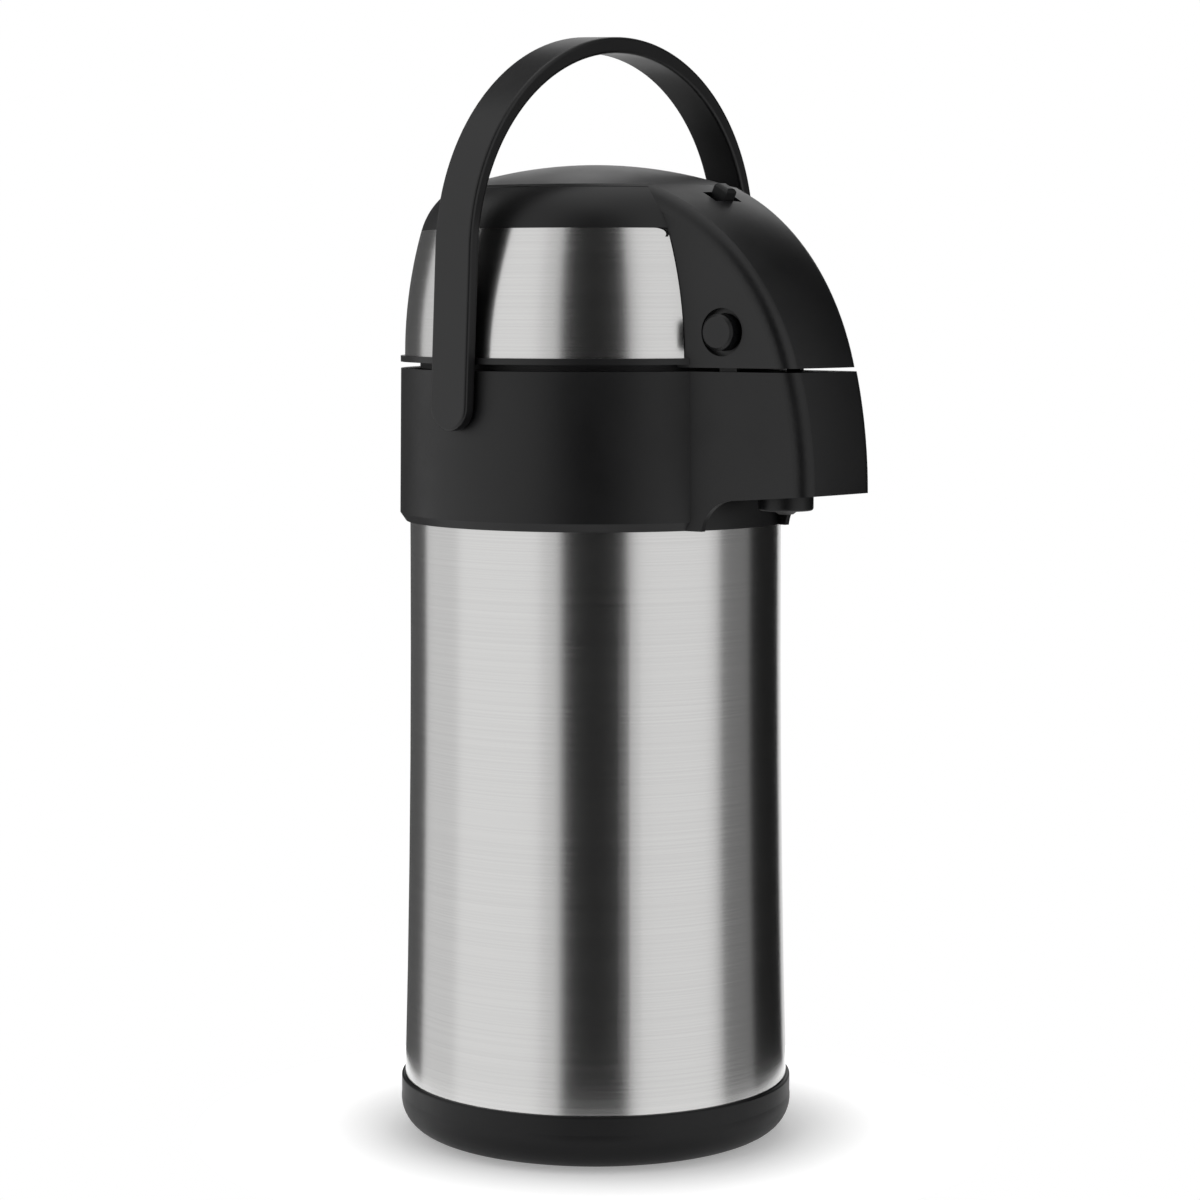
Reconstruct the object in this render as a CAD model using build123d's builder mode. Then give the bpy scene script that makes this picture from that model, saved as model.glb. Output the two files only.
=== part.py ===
from build123d import *
import os
from math import asin, atan, cos, degrees, pi, radians, sin, sqrt

# Airpot: a three litre pump jug. A steel vacuum flask stands in a steel casing with a moulded
# base, a moulded collar carries the spout, and a hinged lid holds the pump.
# Millimetres, +Z up. The origin is on the jug's axis at the floor. The spout points to -Y,
# the lid opens about an axis along X at the rear, and the handle swings about X at the sides.

os.makedirs("parts", exist_ok=True)

# Clearances
running_gap = 0.06  # radial, a shaft in its bore
moving_gap = 0.35  # between pieces that move past each other
seat_gap = 0.1  # between fixed pieces that fit in one another
overcut = 1.0  # how far a cutting block runs past what it cuts
soft_edge = 0.8
small_edge = 0.6

# Steel casing and flask
casing_radius = 77.5
casing_foot_radius = 80.8
casing_flare_top = 247.0  # the casing is straight above this height
casing_shoulder_top = 299.0
casing_shoulder_round = 14.0
casing_wall = 0.8
casing_neck_in = 1.5  # the casing steps in to sit in the base
flask_radius = 68.6
flask_wall = 0.8
flask_floor = 24.0
flask_shoulder = 246.0
flask_floor_round = 12.0
flask_shoulder_round = 26.0
neck_radius = 31.0
neck_top = 303.0
neck_flange_radius = 37.0

# Base cup and foot ring
base_radius = 82.3
base_top = 23.7
base_foot_radius = 72.0
base_floor_bottom = 3.2
base_floor_top = 7.0
base_round_top = 16.0  # the side is straight above this height
base_round_bulge = 2.6  # how far the rounded corner stands out of a straight bevel
foot_ring_inner = 59.0
foot_ring_outer = 67.0
foot_ring_height = 2.4
foot_ring_proud = 0.8

# Collar
collar_top = 321.4
collar_bottom = 258.2
collar_top_radius = 81.0
collar_foot_radius = 81.6
collar_lip_radius = 79.3
collar_lip_height = 3.4
collar_wall = 2.6
collar_deck = 2.4  # thickness of the flat top

# Spout nose, shared by the collar below the seam and by the lid above it
nose_root_reach = 70.0  # distance in front of the axis where the half width is given
nose_root_half_width = 29.0
nose_taper = 0.13  # half width lost for each millimetre further forward
nose_corner_round = 7.0
nose_wall = 2.4
nose_seam_reach = 124.4  # front of the collar's nose at the seam
nose_middle_reach = 128.6
nose_middle_height = 302.0
nose_foot_reach = 130.9  # front of the nose at its lower edge
nose_foot = 274.0
nose_cutout_round = 15.0  # round start of the cut-out under the nose's sides
nose_cutout_height = 271.0
nose_overrun = 5.0  # how far the nose's plan runs past its front
nose_corner_zone = 100.0  # the corners that get rounded lie in front of this reach
nose_space_rear = 65.0
nose_passage_foot = 292.0  # the nose is open to the rear above this height

# Shoulder tray inside the collar
tray_floor_bottom = 305.0
tray_floor_top = 307.5
tray_mouth_radius = 36.3
tray_foot_radius = 40.0
tray_window_depth = 15.0
upstand_radius = 73.0
upstand_wall = 2.2
upstand_top = 325.7

# Stopper, tubes and nozzle
mouth_seal_thickness = 1.2
stopper_flange_radius = 35.5
stopper_flange_thickness = 3.0
stopper_radius = 29.7
stopper_depth = 16.0
stopper_chamfer = 1.2
stopper_groove_radius = 27.4
stopper_groove_height = 4.0
air_boss_radius = 9.0
air_hole_radius = 5.0
air_boss_reach = 8.0  # behind the axis
air_boss_top = 316.0
dip_tube_radius = 4.5
dip_tube_wall = 0.9
dip_tube_reach = 18.0  # in front of the axis
dip_tube_foot = 34.0
dip_tube_recess = 1.0
spout_tube_radius = 4.0
spout_tube_wall = 0.9
spout_tube_bend = 6.0
spout_tube_rise = 6.4
nozzle_reach = 102.5
nozzle_foot = 264.8
nozzle_top = 300.0
nozzle_radius = 5.0
nozzle_tip_radius = 3.0
nozzle_bore_radius = 2.2
nozzle_flange_radius = 7.5
nozzle_flange_thickness = 1.5
skirt_radius = 11.0
skirt_foot = 266.3
skirt_round = 1.2
cover_bottom = 274.8
cover_thickness = 2.0

# Lid
lid_radius = 79.3
lid_barrel_bend = 190.0  # radius of the barrel's upright curve
lid_foot = 326.6
lid_nose_foot = 323.0
lid_nose_rear = 40.0
lid_wall = 2.4
lid_rim_top = 395.8
lid_shoulder = 378.0  # top of the steel band
lip_radius = 81.1
lip_bottom = 324.1
lip_overlap = 1.2
lip_opening_rear = 62.0
nose_floor_rear = 67.0
nose_floor_recess = 1.5
lid_plate_bottom = 326.2
lid_plate_thickness = 2.4
band_thickness = 0.7
band_front_margin = 0.4  # the band stops this far from the nose
band_corner_round = 3.0
nose_crown_bend = 108.0  # radius of the nose's curved front, seen from the side
nose_crown_reach = 123.2  # where that curve meets the lid's lower edge
crease_height = 30.0  # edges of the nose taller than this are its two front corners

# Push plate, pump and lid seal
plate_radius = 58.1
plate_crown = 405.0
plate_thickness = 2.2
plate_skirt_foot = 376.0
plate_edge_round = 0.9
plate_edge_drop = 0.4
plate_skirt_wall = 1.8
well_gap = 0.5
well_wall = 1.8
well_foot = 358.0
pump_travel = 20.0
piston_radius = 32.0
piston_bottom = 381.0
piston_thickness = 2.5
piston_rib_reach = 27.2
piston_rib_width = 1.6
piston_rib_height = 5.0
stem_radius = 7.0
stem_gap = 0.2
bellows_outer = 43.0
bellows_inner = 34.0
bellows_wall = 1.6  # measured level, through a slope of a fold
bellows_folds = 5
bellows_flange_radius = 50.0
bellows_flange_thickness = 2.0
clamp_inner = 45.0
clamp_thickness = 2.2
pump_spring_radius = 20.0
pump_spring_wire = 1.0
pump_spring_turns = 5
valve_radius = 8.5
valve_thickness = 0.8
lid_seal_height = 2.6

# Lock slider in front of the push plate
lock_reach = 69.0
lock_travel = 5.0  # to each side
lock_knob_length = 6.0
lock_slot_length = lock_knob_length + 2 * lock_travel
lock_slot_width = 7.9
lock_slot_depth = 6.0
lock_knob_width = 7.2
lock_knob_height = 4.6
lock_knob_round = 1.6
carriage_length = 13.0
carriage_width = 11.0
carriage_depth = 3.4
carriage_thickness = 1.6
tongue_half_width = 3.4
tongue_bottom = 376.5
tongue_top = 384.0
tongue_length = 5.0
tongue_gap = 0.6
tongue_post_length = 2.0
tongue_post_drop = 3.0  # from the slope down to the top of the tongue's post
tab_near = 4.2
tab_far = 9.5
tab_reach = 63.5
tab_thickness = 3.0
tab_gap = 0.6
tab_lift = 0.5  # over the tongue

# Release buttons and latches
button_reach = 91.0
button_height = 337.0
button_radius = 7.15
button_proud = 4.0
button_chamfer = 1.0
button_well_radius = 9.5
button_well_depth = 3.0
button_well_floor = 1.5
button_well_wall = 1.6
button_travel = 3.0
button_flange_radius = 9.0
button_flange_thickness = 1.8
latch_half_width = 4.0
latch_foot = 312.5
latch_tooth = 0.8
latch_tooth_height = 3.5
button_spring_radius = 4.0
button_spring_wire = 0.5
button_spring_turns = 5
spring_post_half_width = 3.0
spring_post_half_depth = 5.5
spring_post_top = 343.0
spring_end_gap = 0.6

# Lid hinge
hinge_reach = 83.4  # behind the axis
hinge_height = 322.8
hinge_barrel_radius = 3.6
hinge_pin_radius = 1.5
knuckle_half_length = 8.6
lug_length = 8.0
hinge_pin_overhang = 0.6

# Handle
pivot_height = 307.5
handle_lean = 2.8  # degrees that the upright handle leans back
handle_width = 20.0
handle_inner_half = 81.9
handle_thickness = 5.5
handle_outer_half = handle_inner_half + handle_thickness
arch_height = 371.0  # the arch springs from the straight arms here
arch_inner_rise = 79.6
arch_outer_rise = arch_inner_rise + 1.2 * handle_thickness
handle_edge_round = 1.3
pin_radius = 4.0
pin_start = collar_top_radius - collar_wall - seat_gap
pin_reach = handle_inner_half + 0.6 * handle_thickness

# Springs
coil_chords = 12  # in each turn
coil_wire_sides = 6

# Screws
screw_circle = 71.0
screw_radius = 1.5
screw_head_radius = 2.9
screw_head_height = 1.4
screw_length = 12.0
screw_boss_radius = 3.6
screw_boss_height = 34.0
screw_angles = (30, 150, 215, 325)


def nose_half_width(reach):
    return nose_root_half_width - nose_taper * (reach - nose_root_reach)


def nose_plan(level, inset, rear, front):
    # Plan of the nose between two distances in front of the axis
    with BuildSketch(Plane.XY.offset(level)) as plan:
        with BuildLine():
            Polyline(
                (-nose_half_width(rear) + inset, -rear),
                (-nose_half_width(front) + inset, -front),
                (nose_half_width(front) - inset, -front),
                (nose_half_width(rear) - inset, -rear),
                close=True,
            )
        make_face()
    return plan.sketch


def tube_section(inner, outer, bottom, top):
    # Half section of a plain ring, to be turned about the axis
    with BuildSketch(Plane.XZ) as section:
        with Locations(((inner + outer) / 2, (bottom + top) / 2)):
            Rectangle(outer - inner, top - bottom)
    return section.sketch


def upright_cylinder(x, y, radius, bottom, top, mode=Mode.ADD):
    with Locations((x, y, (bottom + top) / 2)):
        Cylinder(radius, top - bottom, mode=mode)


def save(part, name):
    part.label = name
    export_step(part, "parts/" + name + ".step")


# Base cup: a moulded cup that the casing stands in
base_wall_inner = casing_foot_radius - casing_neck_in + seat_gap
base_corner_x = (base_foot_radius + base_radius) / 2 + base_round_bulge
base_corner_z = (foot_ring_proud + base_round_top) / 2 - base_round_bulge

with BuildPart() as base_cup:
    with BuildSketch(Plane.XZ) as base_section:
        with BuildLine():
            ThreePointArc(
                (base_foot_radius, foot_ring_proud),
                (base_corner_x, base_corner_z),
                (base_radius, base_round_top),
            )
            Polyline(
                (base_radius, base_round_top),
                (base_radius, base_top),
                (casing_foot_radius + seat_gap, base_top),
                (base_wall_inner, base_top - casing_neck_in),
                (base_wall_inner, base_floor_top),
                (0, base_floor_top),
                (0, base_floor_bottom),
                (foot_ring_inner - foot_ring_height, base_floor_bottom),
                (foot_ring_inner - foot_ring_height, foot_ring_proud),
                (base_foot_radius, foot_ring_proud),
            )
        make_face()
    revolve(axis=Axis.Z)
    revolve(
        tube_section(foot_ring_inner, foot_ring_outer, 0, foot_ring_height),
        axis=Axis.Z,
        mode=Mode.SUBTRACT,
    )
    top_edges = base_cup.edges().group_by(Axis.Z)[-1]
    fillet(top_edges.sort_by(SortBy.RADIUS)[-1], radius=soft_edge)
save(base_cup.part, "base_cup")

with BuildPart() as foot_ring:
    revolve(
        tube_section(foot_ring_inner + seat_gap, foot_ring_outer - seat_gap, 0, foot_ring_height),
        axis=Axis.Z,
    )
    chamfer(foot_ring.edges().group_by(Axis.Z)[0], length=small_edge)
save(foot_ring.part, "foot_ring")


# Casing: straight under the collar, flared towards the base, drawn in to the neck on top
flare_bend = ((casing_flare_top - base_top) ** 2) / (2 * (casing_foot_radius - casing_radius))


def casing_section(inset):
    foot_in = casing_foot_radius - casing_neck_in - inset
    with BuildSketch(Plane.XZ) as section:
        with BuildLine():
            Polyline(
                (0, base_floor_top),
                (foot_in, base_floor_top),
                (foot_in, base_top - casing_neck_in),
                (casing_foot_radius - inset, base_top),
            )
            flare = Line(
                (casing_radius - inset, casing_flare_top),
                (casing_radius - inset, casing_shoulder_top - casing_shoulder_round),
            )
            ThreePointArc(
                (casing_foot_radius - inset, base_top),
                (
                    casing_radius - inset + (casing_foot_radius - casing_radius) / 4,
                    (base_top + casing_flare_top) / 2,
                ),
                (casing_radius - inset, casing_flare_top),
            )
            shoulder = RadiusArc(
                flare @ 1,
                (casing_radius - casing_shoulder_round, casing_shoulder_top - inset),
                -(casing_shoulder_round - inset),
            )
            Polyline(
                shoulder @ 1,
                (neck_flange_radius - inset, casing_shoulder_top - inset),
                (neck_flange_radius - inset, neck_top),
                (0, neck_top),
                (0, base_floor_top),
            )
        make_face()
    return section.sketch


with BuildPart() as outer_casing:
    revolve(casing_section(0), axis=Axis.Z)
    revolve(casing_section(casing_wall), axis=Axis.Z, mode=Mode.SUBTRACT)
save(outer_casing.part, "outer_casing")

# Casing bottom: a pressed dish welded inside the casing's lower end
dish_radius = casing_foot_radius - casing_neck_in - casing_wall - seat_gap
dish_depth = 6.0
dish_bevel = 3.0
with BuildPart() as casing_bottom:
    revolve(tube_section(0, dish_radius, base_floor_top, base_floor_top + dish_depth), axis=Axis.Z)
    chamfer(casing_bottom.edges().group_by(Axis.Z)[0], length=dish_bevel)
    offset(
        amount=-casing_wall,
        openings=casing_bottom.faces().sort_by(Axis.Z)[-1],
    )
save(casing_bottom.part, "casing_bottom")


# Flask: the inner vessel, hung in the casing from its neck flange
def flask_section(inset):
    side = flask_radius - inset
    neck = neck_radius - inset
    with BuildSketch(Plane.XZ) as section:
        with BuildLine():
            floor = Line(
                (0, flask_floor + inset), (flask_radius - flask_floor_round, flask_floor + inset)
            )
            lower = RadiusArc(
                floor @ 1,
                (side, flask_floor + flask_floor_round),
                -(flask_floor_round - inset),
            )
            wall = Line(lower @ 1, (side, flask_shoulder))
            upper = RadiusArc(
                wall @ 1,
                (
                    flask_radius - flask_shoulder_round,
                    flask_shoulder + flask_shoulder_round - inset,
                ),
                -(flask_shoulder_round - inset),
            )
            Polyline(
                upper @ 1,
                (neck, flask_shoulder + flask_shoulder_round - inset),
                (neck, neck_top + flask_wall),
                (0, neck_top + flask_wall),
                (0, flask_floor + inset),
            )
        make_face()
    return section.sketch


# Four pressed pieces welded end to end: dish, tube, shoulder and neck
flask_dish_top = flask_floor + flask_floor_round
flask_shoulder_top = flask_shoulder + flask_shoulder_round
flask_pieces = (
    ("flask_bottom", flask_floor, flask_dish_top),
    ("flask_body", flask_dish_top, flask_shoulder),
    ("flask_shoulder_dome", flask_shoulder, flask_shoulder_top),
    ("flask_neck", flask_shoulder_top, neck_top + flask_wall),
)
for name, piece_bottom, piece_top in flask_pieces:
    with BuildPart() as flask_piece:
        revolve(flask_section(0), axis=Axis.Z)
        revolve(
            tube_section(0, neck_flange_radius, neck_top, neck_top + flask_wall), axis=Axis.Z
        )
        revolve(flask_section(flask_wall), axis=Axis.Z, mode=Mode.SUBTRACT)
        revolve(
            tube_section(0, flask_radius + overcut, piece_bottom, piece_top),
            axis=Axis.Z,
            mode=Mode.INTERSECT,
        )
    save(flask_piece.part, name)


# Collar: the moulded shoulder ring with the spout nose in front
collar_chamfer_top = collar_bottom + collar_lip_height
collar_inner = collar_top_radius - collar_wall
deck_bottom = collar_top - collar_deck


def collar_ring_section():
    with BuildSketch(Plane.XZ) as section:
        with BuildLine():
            Polyline(
                (casing_radius + moving_gap, collar_bottom),
                (collar_lip_radius, collar_bottom),
                (collar_foot_radius, collar_chamfer_top),
                (collar_top_radius, collar_top),
                (upstand_radius + seat_gap, collar_top),
                (upstand_radius + seat_gap, deck_bottom),
                (collar_inner, deck_bottom),
                (collar_inner, collar_chamfer_top),
                (casing_radius + moving_gap, collar_chamfer_top),
                close=True,
            )
        make_face()
    return section.sketch


def nose_front_section(inset, bottom, top):
    # Half section whose outer side is the nose's front, trimmed between two heights
    with BuildSketch(Plane.XZ) as section:
        with BuildLine():
            ThreePointArc(
                (nose_seam_reach - inset, collar_top),
                (nose_middle_reach - inset, nose_middle_height),
                (nose_foot_reach - inset, nose_foot),
            )
            Polyline(
                (nose_foot_reach - inset, nose_foot),
                (nose_foot_reach - inset, collar_bottom - collar_lip_height),
                (0, collar_bottom - collar_lip_height),
                (0, collar_top),
                (nose_seam_reach - inset, collar_top),
            )
        make_face()
        with Locations((nose_foot_reach / 2, (bottom + top) / 2)):
            Rectangle(nose_foot_reach, top - bottom, mode=Mode.INTERSECT)
    return section.sketch


def round_nose_corners(block, radius):
    # Rounds the upright corners at the front of a nose-shaped block
    corners = block.edges().filter_by(
        lambda e: abs(e.tangent_at(0.5).Z) > 0.5 and e.center().Y < -nose_corner_zone
    )
    fillet(corners, radius=radius)


nose_plan_front = nose_foot_reach + nose_overrun
with BuildPart() as collar_nose:
    extrude(
        nose_plan(collar_bottom, 0, nose_root_reach, nose_plan_front),
        amount=collar_top - collar_bottom,
    )
    revolve(nose_front_section(0, collar_bottom, collar_top), axis=Axis.Z, mode=Mode.INTERSECT)
    round_nose_corners(collar_nose, nose_corner_round)
    with BuildSketch(Plane.YZ) as cutout:
        with BuildLine():
            cutout_arc = RadiusArc(
                (-collar_foot_radius, nose_cutout_height - nose_cutout_round),
                (
                    -collar_foot_radius - nose_cutout_round,
                    nose_cutout_height,
                ),
                -nose_cutout_round,
            )
            Polyline(
                cutout_arc @ 1,
                (-nose_plan_front, nose_foot),
                (-nose_plan_front, collar_bottom - nose_cutout_round),
                (-collar_foot_radius, collar_bottom - nose_cutout_round),
                (-collar_foot_radius, nose_cutout_height - nose_cutout_round),
            )
        make_face()
    extrude(amount=nose_root_half_width * 2, both=True, mode=Mode.SUBTRACT)

# Space inside the nose: as wide as the walls leave, and open below
with BuildPart() as nose_space:
    extrude(
        nose_plan(collar_bottom - overcut, nose_wall, nose_space_rear, nose_plan_front),
        amount=deck_bottom - collar_bottom + overcut,
    )
    revolve(
        nose_front_section(nose_wall, collar_bottom - overcut, deck_bottom),
        axis=Axis.Z,
        mode=Mode.INTERSECT,
    )
    round_nose_corners(nose_space, nose_corner_round - nose_wall)
    revolve(
        tube_section(
            0, collar_foot_radius, collar_bottom - 2 * overcut, nose_passage_foot
        ),
        axis=Axis.Z,
        mode=Mode.SUBTRACT,
    )


def button_plane(side):
    # On the nose's side wall, with its normal pointing out of the lid and local x up
    lean = atan(nose_taper)
    return Plane(
        origin=(side * nose_half_width(button_reach), -button_reach, button_height),
        x_dir=(0, 0, 1),
        z_dir=(side * cos(lean), -sin(lean), 0),
    )


latch_inner = -(button_well_depth + button_well_floor + moving_gap + button_flange_thickness)
latch_outer = latch_inner + button_flange_thickness
latch_slot_inner = latch_inner - button_travel - moving_gap
latch_slot_outer = latch_outer + latch_tooth + moving_gap


def latch_slots(bottom, top):
    # Slots for both latches through a level plate
    for side in (-1, 1):
        with BuildSketch(button_plane(side).offset(latch_slot_inner)) as slot:
            with Locations(((bottom + top) / 2 - button_height, 0)):
                Rectangle(top - bottom, 2 * (latch_half_width + moving_gap))
        extrude(
            slot.sketch, amount=latch_slot_outer - latch_slot_inner, mode=Mode.SUBTRACT
        )


def across_hinge(radius, low, high, mode=Mode.ADD):
    # Cylinder about the hinge axis between two places along X
    with Locations(Location(((low + high) / 2, hinge_reach, hinge_height), (0, 90, 0))):
        Cylinder(radius, high - low, mode=mode)


lug_start = knuckle_half_length + moving_gap
lug_end = lug_start + lug_length
hinge_clear_radius = hinge_barrel_radius + moving_gap

with BuildPart() as collar:
    revolve(collar_ring_section(), axis=Axis.Z)
    add(collar_nose.part)
    revolve(
        tube_section(0, collar_inner, collar_chamfer_top, deck_bottom),
        axis=Axis.Z,
        mode=Mode.SUBTRACT,
    )
    revolve(
        tube_section(
            0, casing_radius + moving_gap, collar_bottom - overcut, collar_chamfer_top + overcut
        ),
        axis=Axis.Z,
        mode=Mode.SUBTRACT,
    )
    revolve(
        tube_section(
            0, upstand_radius + seat_gap, deck_bottom - overcut, collar_top + overcut
        ),
        axis=Axis.Z,
        mode=Mode.SUBTRACT,
    )
    add(nose_space.part, mode=Mode.SUBTRACT)
    latch_slots(deck_bottom - overcut, collar_top + overcut)
    for side in (-1, 1):
        across_hinge(
            hinge_barrel_radius,
            min(side * lug_start, side * lug_end),
            max(side * lug_start, side * lug_end),
        )
    across_hinge(hinge_clear_radius, -lug_start, lug_start, mode=Mode.SUBTRACT)
    across_hinge(hinge_pin_radius + running_gap, -lug_end, lug_end, mode=Mode.SUBTRACT)
    with Locations(Location((0, 0, pivot_height), (0, 90, 0))):
        Cylinder(
            pin_radius + running_gap, 2 * (collar_foot_radius + overcut), mode=Mode.SUBTRACT
        )
save(collar.part, "collar")

# Shoulder tray: floor round the mouth, and the upstand that the lid closes over
with BuildPart() as shoulder_tray:
    revolve(
        tube_section(tray_mouth_radius, upstand_radius, tray_floor_bottom, tray_floor_top),
        axis=Axis.Z,
    )
    revolve(
        tube_section(
            upstand_radius - upstand_wall, upstand_radius, tray_floor_bottom, upstand_top
        ),
        axis=Axis.Z,
    )
    revolve(
        tube_section(
            tray_foot_radius,
            tray_foot_radius + upstand_wall,
            casing_shoulder_top,
            tray_floor_bottom,
        ),
        axis=Axis.Z,
    )
    chamfer(shoulder_tray.edges().group_by(Axis.Z)[-1], length=small_edge)
    spout_window = spout_tube_radius + moving_gap
    with Locations((0, -upstand_radius, (tray_floor_top + deck_bottom) / 2)):
        Box(
            2 * spout_window,
            tray_window_depth,
            deck_bottom - tray_floor_top,
            mode=Mode.SUBTRACT,
        )
save(shoulder_tray.part, "shoulder_tray")

# Mouth seal between the flask's neck flange and the stopper
mouth_seal_bottom = neck_top + flask_wall
stopper_flange_bottom = mouth_seal_bottom + mouth_seal_thickness
stopper_flange_top = stopper_flange_bottom + stopper_flange_thickness
with BuildPart() as mouth_seal:
    revolve(
        tube_section(
            neck_radius, stopper_flange_radius, mouth_seal_bottom, stopper_flange_bottom
        ),
        axis=Axis.Z,
    )
save(mouth_seal.part, "mouth_seal")

# Stopper: plugs the neck, holds the dip tube and takes the pump's air
stopper_foot = stopper_flange_bottom - stopper_depth
groove_bottom = stopper_foot + stopper_groove_height
groove_top = groove_bottom + stopper_groove_height
with BuildPart() as stopper:
    upright_cylinder(0, 0, stopper_radius, stopper_foot, stopper_flange_bottom)
    upright_cylinder(0, 0, stopper_flange_radius, stopper_flange_bottom, stopper_flange_top)
    chamfer(stopper.edges().group_by(Axis.Z)[0], length=stopper_chamfer)
    upright_cylinder(0, air_boss_reach, air_boss_radius, stopper_flange_top, air_boss_top)
    revolve(
        tube_section(
            stopper_groove_radius, stopper_radius + overcut, groove_bottom, groove_top
        ),
        axis=Axis.Z,
        mode=Mode.SUBTRACT,
    )
    upright_cylinder(
        0, air_boss_reach, air_hole_radius, stopper_foot, air_boss_top, mode=Mode.SUBTRACT
    )
    upright_cylinder(
        0,
        -dip_tube_reach,
        dip_tube_radius + running_gap,
        stopper_foot,
        stopper_flange_top,
        mode=Mode.SUBTRACT,
    )
save(stopper.part, "stopper")

with BuildPart() as stopper_seal:
    revolve(
        tube_section(
            stopper_groove_radius + seat_gap,
            neck_radius - flask_wall - seat_gap,
            groove_bottom + seat_gap,
            groove_top - seat_gap,
        ),
        axis=Axis.Z,
    )
    chamfer(stopper_seal.edges().filter_by(GeomType.CIRCLE), length=soft_edge)
save(stopper_seal.part, "stopper_seal")

# Dip tube: reaches from the stopper to just above the flask's floor
dip_tube_top = stopper_flange_top - dip_tube_recess
with BuildPart() as dip_tube:
    upright_cylinder(0, -dip_tube_reach, dip_tube_radius, dip_tube_foot, dip_tube_top)
    upright_cylinder(
        0,
        -dip_tube_reach,
        dip_tube_radius - dip_tube_wall,
        dip_tube_foot,
        dip_tube_top,
        mode=Mode.SUBTRACT,
    )
save(dip_tube.part, "dip_tube")

# Spout tube: from the stopper forward under the deck, then down to the nozzle
spout_run_height = dip_tube_top + spout_tube_rise
with BuildPart() as spout_tube:
    with BuildLine() as spout_path:
        FilletPolyline(
            (0, -dip_tube_reach, dip_tube_top),
            (0, -dip_tube_reach, spout_run_height),
            (0, -nozzle_reach, spout_run_height),
            (0, -nozzle_reach, nozzle_top),
            radius=spout_tube_bend,
        )
    with BuildSketch(Plane.XY.offset(dip_tube_top)):
        with Locations((0, -dip_tube_reach)):
            Circle(spout_tube_radius)
            Circle(spout_tube_radius - spout_tube_wall, mode=Mode.SUBTRACT)
    sweep(path=spout_path.wires()[0])
save(spout_tube.part, "spout_tube")

# Nozzle: hangs in the cover under the nose, with a drip skirt round it
cover_top = cover_bottom + cover_thickness
with BuildPart() as nozzle:
    upright_cylinder(0, -nozzle_reach, nozzle_radius, skirt_foot, nozzle_top)
    with Locations((0, -nozzle_reach, (nozzle_foot + skirt_foot) / 2)):
        Cone(nozzle_tip_radius, nozzle_radius, skirt_foot - nozzle_foot)
    upright_cylinder(
        0,
        -nozzle_reach,
        nozzle_flange_radius,
        cover_top,
        cover_top + nozzle_flange_thickness,
    )
    upright_cylinder(
        0, -nozzle_reach, nozzle_bore_radius, nozzle_foot, nozzle_top, mode=Mode.SUBTRACT
    )
save(nozzle.part, "nozzle")

with BuildPart() as drip_skirt:
    upright_cylinder(0, -nozzle_reach, skirt_radius, skirt_foot, cover_bottom)
    fillet(drip_skirt.edges().group_by(Axis.Z)[0], radius=skirt_round)
    upright_cylinder(
        0, -nozzle_reach, nozzle_radius + seat_gap, skirt_foot, cover_bottom, mode=Mode.SUBTRACT
    )
save(drip_skirt.part, "drip_skirt")

# Spout cover: closes the nose from below
cover_inset = nose_wall + seat_gap
with BuildPart() as spout_cover:
    extrude(
        nose_plan(cover_bottom, cover_inset, nose_root_reach, nose_plan_front),
        amount=cover_thickness,
    )
    revolve(
        nose_front_section(cover_inset, cover_bottom - overcut, cover_top + overcut),
        axis=Axis.Z,
        mode=Mode.INTERSECT,
    )
    round_nose_corners(spout_cover, nose_corner_round - nose_wall)
    upright_cylinder(
        0, 0, collar_foot_radius + seat_gap, cover_bottom, cover_top, mode=Mode.SUBTRACT
    )
    upright_cylinder(
        0,
        -nozzle_reach,
        nozzle_radius + seat_gap,
        cover_bottom,
        cover_top,
        mode=Mode.SUBTRACT,
    )
save(spout_cover.part, "spout_cover")


# Lid: a barrel-sided dome with the nose in front, round the well of the push plate
barrel_angle = degrees(asin((lid_shoulder - lid_foot) / lid_barrel_bend))
well_radius = plate_radius + well_gap


def dome_section(inset, bottom):
    # Half section of the dome: an upright barrel curve, then a crown that runs in to the well
    foot_angle = degrees(asin((bottom - lid_foot) / lid_barrel_bend))
    with BuildSketch(Plane.XZ) as section:
        with BuildLine():
            barrel = CenterArc(
                (lid_radius - lid_barrel_bend, lid_foot),
                lid_barrel_bend - inset,
                foot_angle,
                barrel_angle - foot_angle,
            )
            crown = TangentArc(
                barrel @ 1, (plate_radius, lid_rim_top - inset), tangent=barrel % 1
            )
            Polyline(
                crown @ 1,
                (0, lid_rim_top - inset),
                (0, (barrel @ 0).Y),
                barrel @ 0,
            )
        make_face()
    return section.sketch


chord_x = nose_crown_reach - plate_radius
chord_z = lid_rim_top - lid_nose_foot
chord = sqrt(chord_x**2 + chord_z**2)
crown_offset = sqrt(nose_crown_bend**2 - (chord / 2) ** 2)
crown_centre_x = (nose_crown_reach + plate_radius) / 2 - crown_offset * chord_z / chord
crown_centre_z = (lid_rim_top + lid_nose_foot) / 2 - crown_offset * chord_x / chord


def crown_section(inset, bottom, top):
    # Half section whose outer side is the nose's round front
    reach = nose_crown_reach + nose_crown_bend
    with BuildSketch(Plane.XZ) as section:
        with Locations((crown_centre_x, crown_centre_z)):
            Circle(nose_crown_bend - inset)
        with Locations((reach / 2, (bottom + top) / 2)):
            Rectangle(reach, top - bottom, mode=Mode.INTERSECT)
    return section.sketch


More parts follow.
